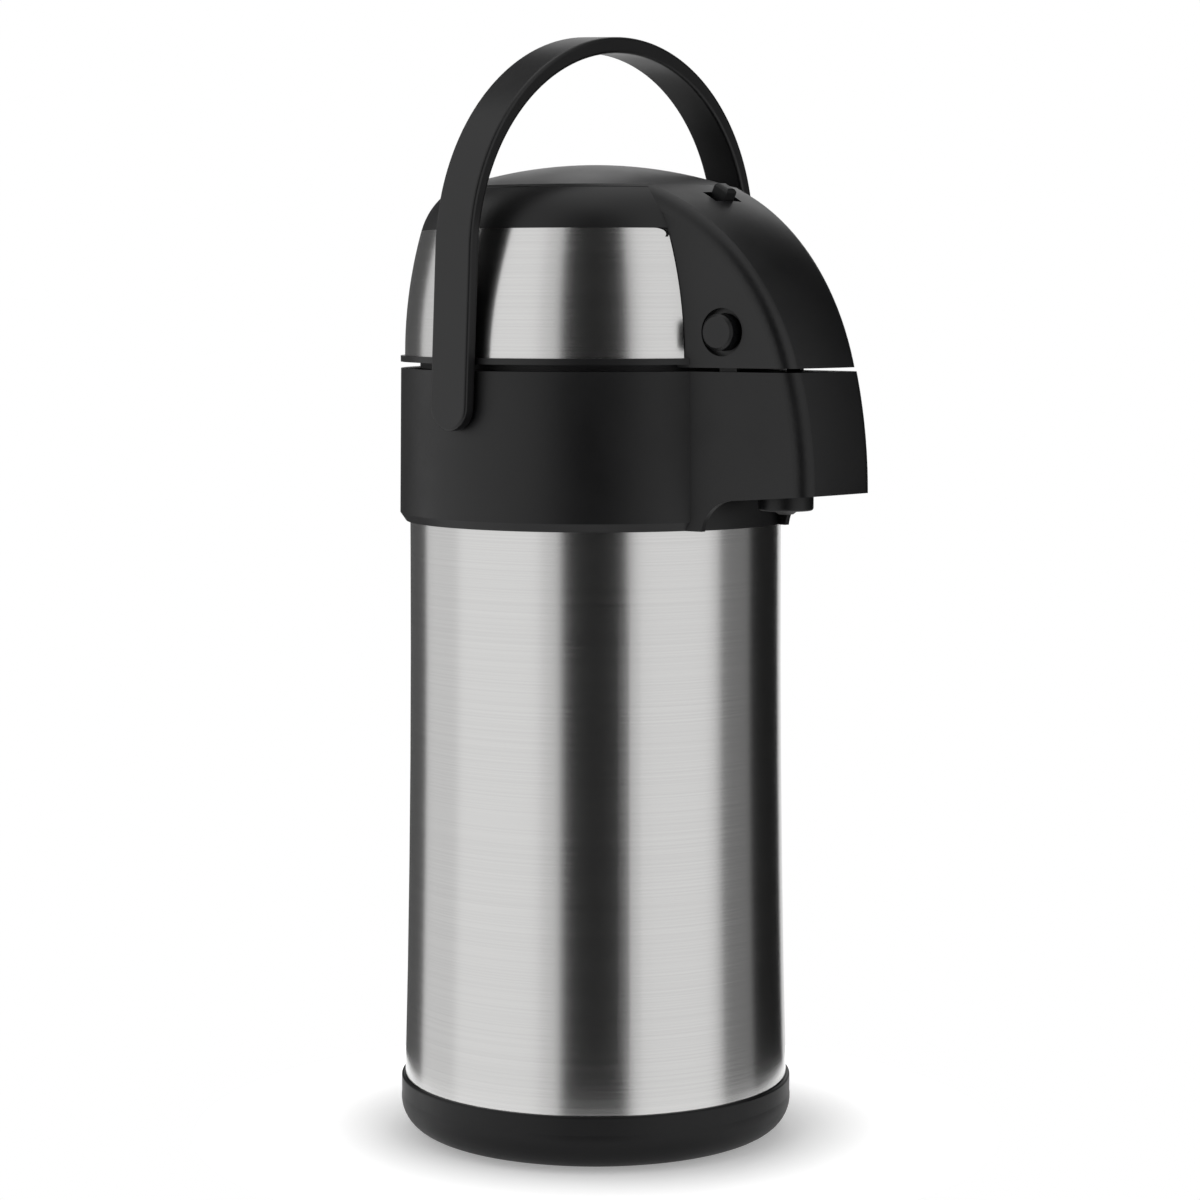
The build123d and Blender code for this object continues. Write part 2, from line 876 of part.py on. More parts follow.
def lid_nose(inset, bottom, top, rear):
    with BuildPart() as block:
        extrude(nose_plan(bottom, inset, rear, nose_plan_front), amount=top - bottom)
        revolve(crown_section(inset, bottom, top), axis=Axis.Z, mode=Mode.INTERSECT)
        creases = block.edges().filter_by(
            lambda e: e.bounding_box().size.Z > crease_height
            and e.center().Y < -nose_root_reach
        )
        fillet(creases, radius=nose_corner_round - inset)
        upright_cylinder(
            0, 0, well_radius, bottom - overcut, top + overcut, mode=Mode.SUBTRACT
        )
    return block.part


lid_inner = lid_wall + band_thickness + seat_gap
band_seat = band_thickness + seat_gap
boss_top = lid_foot + screw_boss_height
button_well_back = -(button_well_depth + button_well_floor)
tab_bottom = tongue_top + tab_lift
tab_top = tab_bottom + tab_thickness


def lock_plane():
    # Across the lock slider's slope: origin on the nose's surface, normal out of the lid
    rise = sqrt(nose_crown_bend**2 - (lock_reach - crown_centre_x) ** 2)
    slope = asin((lock_reach - crown_centre_x) / nose_crown_bend)
    return Plane(
        origin=(0, -lock_reach, crown_centre_z + rise),
        x_dir=(1, 0, 0),
        z_dir=(0, -sin(slope), cos(slope)),
    )


def plane_disc(plane, radius, low, high, mode=Mode.ADD):
    # Disc square to a plane, between two heights over it
    with BuildSketch(plane.offset(low)) as disc:
        Circle(radius)
    extrude(disc.sketch, amount=high - low, mode=mode)


def plane_block(plane, x, y, length, width, low, high, mode=Mode.ADD):
    # Block square to a plane, centred at x, y on it, between two heights over it
    with BuildSketch(plane.offset(low)) as block:
        with Locations((x, y)):
            Rectangle(length, width)
    extrude(block.sketch, amount=high - low, mode=mode)


lid_nose_outside = lid_nose(0, lid_nose_foot, lid_rim_top, lid_nose_rear)
lid_nose_space = lid_nose(
    lid_wall, lid_nose_foot - overcut, lid_rim_top - lid_wall, lid_nose_rear
)
with BuildPart() as lid_shell:
    revolve(dome_section(0, lid_foot), axis=Axis.Z)
    revolve(
        tube_section(plate_radius, lip_radius, lid_foot, lid_shoulder),
        axis=Axis.Z,
        mode=Mode.SUBTRACT,
    )
    revolve(dome_section(band_seat, lid_foot), axis=Axis.Z)
    upright_cylinder(
        0, 0, well_radius, lid_nose_foot - overcut, lid_rim_top + overcut, mode=Mode.SUBTRACT
    )
    add(lid_nose_outside)
    revolve(
        dome_section(lid_inner, lid_nose_foot - overcut), axis=Axis.Z, mode=Mode.SUBTRACT
    )
    add(lid_nose_space, mode=Mode.SUBTRACT)
    for angle in screw_angles:
        upright_cylinder(
            screw_circle * cos(radians(angle)),
            screw_circle * sin(radians(angle)),
            screw_boss_radius,
            lid_foot + lid_plate_thickness,
            boss_top,
        )
        upright_cylinder(
            screw_circle * cos(radians(angle)),
            screw_circle * sin(radians(angle)),
            screw_radius + running_gap,
            lid_foot + lid_plate_thickness,
            lid_foot + lid_plate_thickness + screw_length,
            mode=Mode.SUBTRACT,
        )
    revolve(
        tube_section(
            well_radius, well_radius + well_wall, well_foot, lid_rim_top - lid_wall / 2
        ),
        axis=Axis.Z,
    )
    for side in (-1, 1):
        plane = button_plane(side)
        plane_disc(
            plane, button_well_radius + button_well_wall, button_well_back, -lid_wall / 2
        )
        plane_disc(
            plane, button_well_radius, -button_well_depth, overcut, mode=Mode.SUBTRACT
        )
        plane_disc(
            plane,
            button_radius + moving_gap,
            button_well_back - overcut,
            overcut,
            mode=Mode.SUBTRACT,
        )
    plane_block(
        lock_plane(),
        0,
        0,
        lock_slot_length,
        lock_slot_width,
        -lock_slot_depth,
        overcut,
        mode=Mode.SUBTRACT,
    )
    with Locations(
        (
            -(tab_near + tab_far) / 2,
            -(well_radius + well_wall / 2),
            (well_foot - overcut + tab_top + tab_gap) / 2,
        )
    ):
        Box(
            tab_far - tab_near + 2 * tab_gap,
            4 * well_wall,
            tab_top + tab_gap - well_foot + overcut,
            mode=Mode.SUBTRACT,
        )
save(lid_shell.part, "lid_shell")

# Steel band: a thin sleeve laid in the lid's barrel side, open at the nose
band_top = lid_shoulder - seat_gap
band_top_radius = lid_radius - lid_barrel_bend * (1 - cos(radians(barrel_angle)))
band_front_half = nose_half_width(band_top_radius) + band_front_margin
band_front = sqrt(band_top_radius**2 - band_front_half**2)  # in front of the axis, at the top
with BuildPart() as lid_band:
    with BuildSketch(Plane.XZ) as band_section:
        with Locations((lid_radius - lid_barrel_bend, lid_foot)):
            Circle(lid_barrel_bend)
            Circle(lid_barrel_bend - band_thickness, mode=Mode.SUBTRACT)
        with Locations((lid_radius, (lid_foot + band_top) / 2)):
            Rectangle(lid_radius, band_top - lid_foot, mode=Mode.INTERSECT)
    revolve(axis=Axis.Z)
    band_opening = nose_plan(lid_foot, -band_front_margin, 0, nose_plan_front)
    extrude(band_opening, amount=lid_shoulder - lid_foot, mode=Mode.SUBTRACT)
    with BuildSketch(Plane.YZ) as corner_trim:
        with Locations((-band_front + band_corner_round / 2, band_top - band_corner_round / 2)):
            Rectangle(band_corner_round + overcut, band_corner_round + overcut)
        with Locations((-band_front + band_corner_round, band_top - band_corner_round)):
            Circle(band_corner_round, mode=Mode.SUBTRACT)
        with Locations(
            (-band_front + band_corner_round, band_top - 2 * band_corner_round),
            (-band_front + 2 * band_corner_round, band_top - band_corner_round),
        ):
            Rectangle(2 * band_corner_round, 2 * band_corner_round, mode=Mode.SUBTRACT)
    extrude(amount=band_front_half + 4 * band_corner_round, both=True, mode=Mode.SUBTRACT)
save(lid_band.part, "lid_band")

# Lid base: closes the lid from below, with the lip, the hinge knuckle and the pump's air boss
lid_plate_top = lid_plate_bottom + lid_plate_thickness
lid_plate_radius = lid_radius - lid_inner - seat_gap
nose_floor_inset = lid_wall + seat_gap
nose_floor_bottom = lid_nose_foot + nose_floor_recess
lid_seal_bottom = air_boss_top + moving_gap
lid_boss_bottom = lid_seal_bottom + lid_seal_height
with BuildPart() as nose_floor:
    extrude(
        nose_plan(nose_floor_bottom, nose_floor_inset, nose_floor_rear, nose_plan_front),
        amount=lid_plate_top - nose_floor_bottom,
    )
    revolve(
        crown_section(nose_floor_inset, nose_floor_bottom, lid_plate_top),
        axis=Axis.Z,
        mode=Mode.INTERSECT,
    )
    round_nose_corners(nose_floor, nose_corner_round - lid_wall)
    upright_cylinder(
        0,
        0,
        upstand_radius + moving_gap,
        nose_floor_bottom - overcut,
        lid_plate_bottom,
        mode=Mode.SUBTRACT,
    )
    for side in (-1, 1):
        plane_disc(
            button_plane(side),
            button_well_radius + button_well_wall + seat_gap,
            button_well_back - seat_gap,
            0,
            mode=Mode.SUBTRACT,
        )

with BuildPart() as lid_base:
    revolve(tube_section(0, lid_plate_radius, lid_plate_bottom, lid_plate_top), axis=Axis.Z)
    revolve(
        tube_section(lid_plate_radius - lip_overlap, lip_radius, lip_bottom, lid_foot),
        axis=Axis.Z,
    )
    extrude(
        nose_plan(lid_nose_foot, -seat_gap, lip_opening_rear, nose_plan_front),
        amount=lid_foot - lid_nose_foot,
        mode=Mode.SUBTRACT,
    )
    add(nose_floor.part)
    latch_slots(nose_floor_bottom - overcut, lid_plate_top + overcut)
    with Locations(
        (0, -button_reach, (lid_plate_top + spring_post_top) / 2),
    ):
        Box(
            2 * spring_post_half_width,
            2 * spring_post_half_depth,
            spring_post_top - lid_plate_top,
        )
    across_hinge(hinge_barrel_radius, -knuckle_half_length, knuckle_half_length)
    with Locations(
        (0, (lip_radius + hinge_reach - lip_overlap) / 2, (lip_bottom + lid_foot) / 2)
    ):
        Box(
            2 * knuckle_half_length,
            hinge_reach - lip_radius + lip_overlap,
            lid_foot - lip_bottom,
        )
    for side in (-1, 1):
        across_hinge(
            hinge_clear_radius,
            min(side * knuckle_half_length, side * (lug_end + moving_gap)),
            max(side * knuckle_half_length, side * (lug_end + moving_gap)),
            mode=Mode.SUBTRACT,
        )
    across_hinge(
        hinge_pin_radius + running_gap,
        -knuckle_half_length,
        knuckle_half_length,
        mode=Mode.SUBTRACT,
    )
    upright_cylinder(
        0, air_boss_reach, air_boss_radius, lid_boss_bottom, lid_plate_bottom
    )
    upright_cylinder(
        0, air_boss_reach, air_hole_radius, lid_boss_bottom, lid_plate_top, mode=Mode.SUBTRACT
    )
    for angle in screw_angles:
        with Locations(
            (screw_circle * cos(radians(angle)), screw_circle * sin(radians(angle)), 0)
        ):
            with Locations((0, 0, lid_plate_bottom + lid_plate_thickness / 2)):
                Cylinder(
                    screw_radius + running_gap, lid_plate_thickness * 2, mode=Mode.SUBTRACT
                )
            with Locations((0, 0, lid_plate_bottom + screw_head_height / 2)):
                Cylinder(
                    screw_head_radius + seat_gap, screw_head_height, mode=Mode.SUBTRACT
                )
save(lid_base.part, "lid_base")

with BuildPart() as lid_seal:
    upright_cylinder(0, air_boss_reach, air_boss_radius, lid_seal_bottom, lid_boss_bottom)
    upright_cylinder(
        0, air_boss_reach, air_hole_radius, lid_seal_bottom, lid_boss_bottom, mode=Mode.SUBTRACT
    )
    chamfer(lid_seal.edges().group_by(Axis.Z)[0], length=soft_edge)
save(lid_seal.part, "lid_seal")

# Screws that hold the lid base under the shell
with BuildPart() as lid_screws:
    for angle in screw_angles:
        with Locations(
            (screw_circle * cos(radians(angle)), screw_circle * sin(radians(angle)), 0)
        ):
            with Locations((0, 0, lid_plate_bottom + screw_head_height / 2)):
                Cylinder(screw_head_radius, screw_head_height)
            with Locations((0, 0, lid_plate_bottom + (screw_head_height + screw_length) / 2)):
                Cylinder(screw_radius, screw_length - screw_head_height)
save(lid_screws.part, "lid_screws")

with BuildPart() as hinge_pin:
    across_hinge(
        hinge_pin_radius, -lug_end - hinge_pin_overhang, lug_end + hinge_pin_overhang
    )
save(hinge_pin.part, "hinge_pin")

# Outlet valve: a soft disc over the air hole inside the bellows
with BuildPart() as outlet_valve:
    upright_cylinder(
        0, air_boss_reach, valve_radius, lid_plate_top, lid_plate_top + valve_thickness
    )
save(outlet_valve.part, "outlet_valve")

# Bellows: a folded tube between the lid base and the piston
bellows_foot = lid_plate_top + bellows_flange_thickness
bellows_top = piston_bottom
fold = (bellows_top - bellows_foot) / (2 * bellows_folds)
fold_points = [
    (bellows_outer if number % 2 else bellows_inner, bellows_foot + number * fold)
    for number in range(2 * bellows_folds + 1)
]
wall_points = [(radius - bellows_wall, height) for radius, height in reversed(fold_points)]
with BuildPart() as bellows:
    with BuildSketch(Plane.XZ):
        with BuildLine():
            Polyline(*fold_points, *wall_points, close=True)
        make_face()
    revolve(axis=Axis.Z)
    revolve(
        tube_section(
            bellows_inner - bellows_wall,
            bellows_flange_radius,
            lid_plate_top,
            bellows_foot,
        ),
        axis=Axis.Z,
    )
save(bellows.part, "bellows")

with BuildPart() as bellows_clamp:
    revolve(
        tube_section(
            clamp_inner, bellows_flange_radius, bellows_foot, bellows_foot + clamp_thickness
        ),
        axis=Axis.Z,
    )
    chamfer(bellows_clamp.edges().group_by(Axis.Z)[-1], length=small_edge)
save(bellows_clamp.part, "bellows_clamp")


def coil_spring(radius, wire, length, turns):
    # Coil about local Z that starts at height 0, of short straight chords
    chords = turns * coil_chords
    rise = (length - 2 * wire) / chords
    turn = 2 * pi / coil_chords
    points = [
        (radius * cos(number * turn), radius * sin(number * turn), number * rise)
        for number in range(chords + 1)
    ]
    with BuildPart() as coil:
        with BuildLine() as run:
            Polyline(*points)
        with BuildSketch(Plane(origin=run.line @ 0, z_dir=run.line % 0)):
            RegularPolygon(wire, coil_wire_sides)
        sweep(path=run.wires()[0], transition=Transition.RIGHT)
    return coil.part


pump_coil = coil_spring(
    pump_spring_radius, pump_spring_wire, bellows_top - lid_plate_top, pump_spring_turns
)
with BuildPart() as pump_spring:
    with Locations((0, 0, lid_plate_top + pump_spring_wire)):
        add(pump_coil)
save(pump_spring.part, "pump_spring")

# Piston: pushes the bellows down, on a stem that reaches up to the plate
plate_inside = plate_crown - plate_thickness
piston_top = piston_bottom + piston_thickness
with BuildPart() as pump_piston:
    upright_cylinder(0, 0, piston_radius, piston_bottom, piston_top)
    chamfer(pump_piston.edges().group_by(Axis.Z)[0], length=soft_edge)
    upright_cylinder(0, 0, stem_radius, piston_top, plate_inside - stem_gap)
    for angle in range(0, 360, 60):
        with Locations(Location((0, 0, piston_top), (0, 0, angle))):
            with Locations((piston_rib_reach / 2, 0, piston_rib_height / 2)):
                Box(piston_rib_reach, piston_rib_width, piston_rib_height)
save(pump_piston.part, "pump_piston")

# Push plate: a shallow dome with a skirt that slides in the well
plate_edge_height = lid_rim_top - plate_edge_drop
plate_skirt_inner = plate_radius - plate_skirt_wall
with BuildPart() as push_plate:
    with BuildSketch(Plane.XZ):
        with BuildLine():
            top_curve = ThreePointArc(
                (-plate_radius, plate_edge_height),
                (0, plate_crown),
                (plate_radius, plate_edge_height),
            )
            Polyline(
                (plate_radius, plate_edge_height),
                (plate_radius, plate_skirt_foot),
                (-plate_radius, plate_skirt_foot),
                (-plate_radius, plate_edge_height),
            )
        make_face()
        with BuildLine():
            ThreePointArc(
                (-plate_skirt_inner, plate_edge_height - plate_thickness),
                (0, plate_inside),
                (plate_skirt_inner, plate_edge_height - plate_thickness),
            )
            Polyline(
                (plate_skirt_inner, plate_edge_height - plate_thickness),
                (plate_skirt_inner, plate_skirt_foot - overcut),
                (-plate_skirt_inner, plate_skirt_foot - overcut),
                (-plate_skirt_inner, plate_edge_height - plate_thickness),
            )
        make_face(mode=Mode.SUBTRACT)
        split(bisect_by=Plane.YZ)
    revolve(axis=Axis.Z)
    rim = push_plate.edges().filter_by_position(
        Axis.Z, plate_edge_height - seat_gap, plate_edge_height + seat_gap
    )
    fillet(rim, radius=plate_edge_round)
save(push_plate.part, "push_plate")

# Lock catch: a block on the plate's skirt that reaches out over the slider's tongue
with BuildPart() as lock_catch:
    with Locations(
        (
            -(tab_near + tab_far) / 2,
            -(plate_skirt_inner + tab_reach) / 2,
            (tab_bottom + tab_top) / 2,
        )
    ):
        Box(tab_far - tab_near, tab_reach - plate_skirt_inner, tab_thickness)
    upright_cylinder(
        0, 0, plate_radius, tab_bottom - overcut, tab_top + overcut, mode=Mode.SUBTRACT
    )
save(lock_catch.part, "lock_catch")

# Lock slider: a knob over the slope, on a carriage below it whose tongue stops the plate's tab
with BuildPart() as lock_slider:
    slope_plane = lock_plane()
    carriage_top = -carriage_depth
    plane_block(
        slope_plane,
        0,
        0,
        lock_knob_length,
        lock_knob_width,
        carriage_top,
        lock_knob_height,
    )
    knob_top = lock_slider.faces().sort_by(Axis.Z)[-1]
    fillet(knob_top.edges(), radius=lock_knob_round)
    plane_block(
        slope_plane,
        0,
        0,
        carriage_length,
        carriage_width,
        carriage_top - carriage_thickness,
        carriage_top,
    )
    tongue_front = well_radius + well_wall + tongue_gap + tongue_length
    tongue_post_top = slope_plane.origin.Z - tongue_post_drop
    with Locations(
        (
            0,
            -(tongue_front - tongue_length / 2),
            (tongue_bottom + tongue_top) / 2,
        )
    ):
        Box(2 * tongue_half_width, tongue_length, tongue_top - tongue_bottom)
    with Locations(
        (0, -(tongue_front - tongue_post_length / 2), (tongue_top + tongue_post_top) / 2)
    ):
        Box(2 * tongue_half_width, tongue_post_length, tongue_post_top - tongue_top)
save(lock_slider.part, "lock_slider")


# Release buttons: each with its flange, and the latch that hangs through the seam
def release_button(side):
    plane = button_plane(side)
    arm_top = -button_radius
    arm_foot = latch_foot - button_height
    with BuildPart() as button:
        plane_disc(plane, button_radius, latch_outer, button_proud)
        face_edges = button.faces().sort_by(Axis.X)[-1 if side > 0 else 0].edges()
        chamfer(face_edges, length=button_chamfer)
        plane_disc(plane, button_flange_radius, latch_inner, latch_outer)
        plane_block(
            plane,
            (arm_top + arm_foot) / 2,
            0,
            arm_top - arm_foot,
            2 * latch_half_width,
            latch_inner,
            latch_outer,
        )
        plane_block(
            plane,
            arm_foot + latch_tooth_height / 2,
            0,
            latch_tooth_height,
            2 * latch_half_width,
            latch_outer,
            latch_outer + latch_tooth,
        )
    return button.part


def button_spring(side):
    plane = button_plane(side).offset(latch_inner)
    reach_in = nose_half_width(button_reach) + latch_inner - spring_post_half_width
    coil = coil_spring(
        button_spring_radius,
        button_spring_wire,
        reach_in - spring_end_gap,
        button_spring_turns,
    )
    back = Plane(origin=plane.origin, x_dir=plane.x_dir, z_dir=-plane.z_dir)
    with BuildPart() as spring:
        with Locations(back.offset(button_spring_wire)):
            add(coil)
    return spring.part


for side, name in ((-1, "left"), (1, "right")):
    save(release_button(side), "release_button_" + name)
    save(button_spring(side), "button_spring_" + name)


# Carry handle: a bail of one strap, straight at the sides and arched over the lid
handle_plane = Plane(
    origin=(0, 0, pivot_height),
    x_dir=(1, 0, 0),
    z_dir=(0, -cos(radians(handle_lean)), -sin(radians(handle_lean))),
)
arch_base = arch_height - pivot_height
strap_foot = -handle_width / 2
strap_top = arch_base + arch_outer_rise + overcut


def arch_outline(half, rise):
    # Straight up the sides from the arm's foot, then half an ellipse
    with BuildSketch(handle_plane) as outline:
        with Locations((0, (strap_foot + arch_base) / 2)):
            Rectangle(2 * half, arch_base - strap_foot)
        with Locations((0, arch_base)):
            Ellipse(half, rise)
    return outline.sketch


with BuildPart() as carry_handle:
    extrude(
        arch_outline(handle_outer_half, arch_outer_rise), amount=handle_width / 2, both=True
    )
    extrude(
        arch_outline(handle_inner_half, arch_inner_rise),
        amount=handle_width / 2 + overcut,
        both=True,
        mode=Mode.SUBTRACT,
    )
    with BuildSketch(
        Plane(origin=handle_plane.origin, x_dir=-handle_plane.z_dir, z_dir=(1, 0, 0))
    ) as strap_side:
        Circle(handle_width / 2)
        with Locations((0, strap_top / 2)):
            Rectangle(handle_width, strap_top)
    extrude(strap_side.sketch, amount=2 * handle_outer_half, both=True, mode=Mode.INTERSECT)
    fillet(carry_handle.edges(), radius=handle_edge_round)
    with Locations(Location((0, 0, pivot_height), (0, 90, 0))):
        Cylinder(
            pin_radius + running_gap, 2 * (pin_reach + running_gap), mode=Mode.SUBTRACT
        )
save(carry_handle.part, "carry_handle")


def handle_pin(side):
    with BuildPart() as pin:
        with Locations(
            Location((side * (pin_start + pin_reach) / 2, 0, pivot_height), (0, 90, 0))
        ):
            Cylinder(pin_radius, pin_reach - pin_start)
    return pin.part


for side, name in ((-1, "left"), (1, "right")):
    save(handle_pin(side), "handle_pin_" + name)
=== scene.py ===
import math

import bpy
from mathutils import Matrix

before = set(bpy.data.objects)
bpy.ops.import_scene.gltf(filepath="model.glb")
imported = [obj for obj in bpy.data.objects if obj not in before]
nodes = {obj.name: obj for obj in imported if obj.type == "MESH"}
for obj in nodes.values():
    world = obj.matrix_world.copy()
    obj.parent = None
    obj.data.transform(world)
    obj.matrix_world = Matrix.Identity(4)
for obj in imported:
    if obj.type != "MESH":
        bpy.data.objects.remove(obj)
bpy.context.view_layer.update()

# Airpot: pump vacuum jug in brushed steel and satin black plastic, with its lid shut

print("frame loaded:", len(nodes), "nodes")


def startMaterial(name):
    material = bpy.data.materials.new(name)
    material.use_nodes = True
    tree = material.node_tree
    shader = tree.nodes["Principled BSDF"]
    return material, tree, shader


def addNoise(tree, stretch, scale, detail, place=(-700, 0)):
    # Noise on the piece's own coordinates, stretched per axis
    coords = tree.nodes.new("ShaderNodeTexCoord")
    coords.location = (place[0] - 400, place[1])
    mapping = tree.nodes.new("ShaderNodeMapping")
    mapping.location = (place[0] - 200, place[1])
    mapping.inputs["Scale"].default_value = stretch
    noise = tree.nodes.new("ShaderNodeTexNoise")
    noise.location = place
    noise.inputs["Scale"].default_value = scale
    noise.inputs["Detail"].default_value = detail
    tree.links.new(coords.outputs["Object"], mapping.inputs["Vector"])
    tree.links.new(mapping.outputs["Vector"], noise.inputs["Vector"])
    return noise


# Most of the noise lies in this span, so the ramps run across it
noiseSpan = (0.35, 0.65)


def rampColour(value):
    if isinstance(value, tuple):
        return (*value, 1)
    return (value, value, value, 1)


def rampTo(tree, noise, socket, low, high):
    # Noise between two colours or two grey levels, into a shader socket
    ramp = tree.nodes.new("ShaderNodeValToRGB")
    ramp.location = (noise.location.x + 200, noise.location.y)
    first, last = ramp.color_ramp.elements
    first.position, last.position = noiseSpan
    first.color = rampColour(low)
    last.color = rampColour(high)
    tree.links.new(noise.outputs["Fac"], ramp.inputs["Fac"])
    tree.links.new(ramp.outputs["Color"], socket)


def bumpFrom(tree, noise, shader, strength, distance):
    bump = tree.nodes.new("ShaderNodeBump")
    bump.location = (-200, -400)
    bump.inputs["Strength"].default_value = strength
    bump.inputs["Distance"].default_value = distance
    tree.links.new(noise.outputs["Fac"], bump.inputs["Height"])
    tree.links.new(bump.outputs["Normal"], shader.inputs["Normal"])


evenStretch = (1, 1, 1)
moulding = {"cloudScale": 38, "cloudDetail": 3, "grainScale": 1500, "grainDetail": 2,
            "grainDepth": 0.0002}
plasticLook = {
    "satinBlack": dict(low=(0.0030, 0.0030, 0.0034), high=(0.0044, 0.0044, 0.0048),
                       rough=(0.36, 0.42), shine=0.34, grain=0.10),
    "mattBlack": dict(low=(0.0028, 0.0028, 0.0032), high=(0.0042, 0.0042, 0.0046),
                      rough=(0.40, 0.47), shine=0.31, grain=0.14),
    "footBlack": dict(low=(0.0028, 0.0028, 0.0032), high=(0.0042, 0.0042, 0.0046),
                      rough=(0.42, 0.50), shine=0.22, grain=0.16),
    "innerBlack": dict(low=(0.012, 0.012, 0.013), high=(0.017, 0.017, 0.018),
                       rough=(0.48, 0.58), shine=0.40, grain=0.12),
}


def plastic(name):
    # Moulded plastic with a fine eroded grain and slight cloudiness
    look = plasticLook[name]
    material, tree, shader = startMaterial(name)
    cloud = addNoise(tree, evenStretch, moulding["cloudScale"], moulding["cloudDetail"],
                     (-700, 200))
    rampTo(tree, cloud, shader.inputs["Base Color"], look["low"], look["high"])
    grain = addNoise(tree, evenStretch, moulding["grainScale"], moulding["grainDetail"],
                     (-700, -300))
    rampTo(tree, cloud, shader.inputs["Roughness"], *look["rough"])
    bumpFrom(tree, grain, shader, look["grain"], moulding["grainDepth"])
    shader.inputs["Specular IOR Level"].default_value = look["shine"]
    return material


brushing = {"scale": 1, "detail": 2, "depth": 0.0001}
steelLook = {
    "brushedSteel": dict(low=(0.492, 0.489, 0.485), high=(0.520, 0.517, 0.512),
                         rough=(0.19, 0.21), stretch=(3, 3, 1500), grain=0.008),
    "flaskSteel": dict(low=(0.58, 0.58, 0.57), high=(0.67, 0.67, 0.66),
                       rough=(0.20, 0.28), stretch=(14, 14, 500), grain=0.05),
    "wireSteel": dict(low=(0.50, 0.50, 0.50), high=(0.62, 0.62, 0.62),
                      rough=(0.25, 0.35), stretch=(300, 300, 300), grain=0.05),
}


def steel(name):
    # Steel brushed round the jug: streaks that run level
    look = steelLook[name]
    material, tree, shader = startMaterial(name)
    streaks = addNoise(tree, look["stretch"], brushing["scale"], brushing["detail"])
    rampTo(tree, streaks, shader.inputs["Base Color"], look["low"], look["high"])
    rampTo(tree, streaks, shader.inputs["Roughness"], *look["rough"])
    bumpFrom(tree, streaks, shader, look["grain"], brushing["depth"])
    shader.inputs["Metallic"].default_value = 1
    return material


siliconeLook = dict(low=(0.20, 0.20, 0.195), high=(0.26, 0.26, 0.25), rough=(0.5, 0.62),
                    scale=60, detail=3, grain=0.1, depth=0.0002)


def silicone(name):
    look = siliconeLook
    material, tree, shader = startMaterial(name)
    cloud = addNoise(tree, evenStretch, look["scale"], look["detail"])
    rampTo(tree, cloud, shader.inputs["Base Color"], look["low"], look["high"])
    rampTo(tree, cloud, shader.inputs["Roughness"], *look["rough"])
    bumpFrom(tree, cloud, shader, look["grain"], look["depth"])
    return material


finishes = {name: plastic(name) for name in plasticLook}
finishes.update({name: steel(name) for name in steelLook})
finishes["greySilicone"] = silicone("greySilicone")
print("finishes made:", len(finishes))


nodeFinish = {
    "satinBlack": ["carry_handle", "lid_shell", "push_plate", "lock_slider",
                   "release_button_left", "release_button_right", "lid_base"],
    "mattBlack": ["collar", "drip_skirt", "nozzle", "spout_cover"],
    "footBlack": ["base_cup"],
    "innerBlack": ["shoulder_tray", "stopper", "spout_tube", "bellows_clamp", "pump_piston",
                   "lock_catch"],
    "brushedSteel": ["outer_casing", "lid_band"],
    "flaskSteel": ["flask_bottom", "flask_body", "flask_shoulder_dome", "flask_neck",
                   "casing_bottom", "dip_tube"],
    "wireSteel": ["hinge_pin", "handle_pin_left", "handle_pin_right", "lid_screws",
                  "pump_spring", "button_spring_left", "button_spring_right"],
    "greySilicone": ["foot_ring", "mouth_seal", "stopper_seal", "lid_seal", "outlet_valve",
                     "bellows"],
}

for finish, names in nodeFinish.items():
    for name in names:
        mesh = nodes[name].data
        mesh.materials.clear()
        mesh.materials.append(finishes[finish])

print("pieces dressed")


studio = {
    "towardsCamera": (-0.737, -0.675),
    "clothRough": 0.9,
    "clothShine": 0.1,
}
towardsX, towardsY = studio["towardsCamera"]
facingAngle = math.atan2(towardsY, towardsX)


def stageMaterial(name, grey, glow=0):
    material, tree, shader = startMaterial(name)
    shader.inputs["Base Color"].default_value = (grey, grey, grey, 1)
    shader.inputs["Roughness"].default_value = studio["clothRough"]
    shader.inputs["Specular IOR Level"].default_value = studio["clothShine"]
    shader.inputs["Emission Color"].default_value = (1, 1, 1, 1)
    shader.inputs["Emission Strength"].default_value = glow
    return material, tree, shader


def roundSet(turn, distance, height):
    # A place on a circle round the jug, and the turn that faces its middle
    around = facingAngle + math.radians(turn)
    place = (distance * math.cos(around), distance * math.sin(around), height)
    return place, (math.pi / 2, 0, around + math.pi / 2)


# Small disc under the jug, which holds its cast shadow and fades into the white
# surroundings; its glow drops from full white at the rim to 0.3 near the base, a painted
# shadow round the foot
floorDisc = {
    "radius": 0.17,
    "corners": 96,
    "drop": 0.0004,
    "grey": 0.82,
    # Painted shadow: radii over which the floor's glow rises from the dim level by the foot
    # to full white
    "paintedShadowFade": (0.085, 0.155),
    "glow": (0.3, 1.0),
}

bpy.ops.object.select_all(action="DESELECT")
bpy.ops.mesh.primitive_circle_add(vertices=floorDisc["corners"], radius=floorDisc["radius"],
                                  fill_type="NGON", location=(0, 0, -floorDisc["drop"]))
floor = bpy.context.object
floor.name = "floor"
paleFloor, floorTree, floorShader = stageMaterial("paleFloor", floorDisc["grey"])
coords = floorTree.nodes.new("ShaderNodeTexCoord")
reach = floorTree.nodes.new("ShaderNodeVectorMath")
reach.operation = "LENGTH"
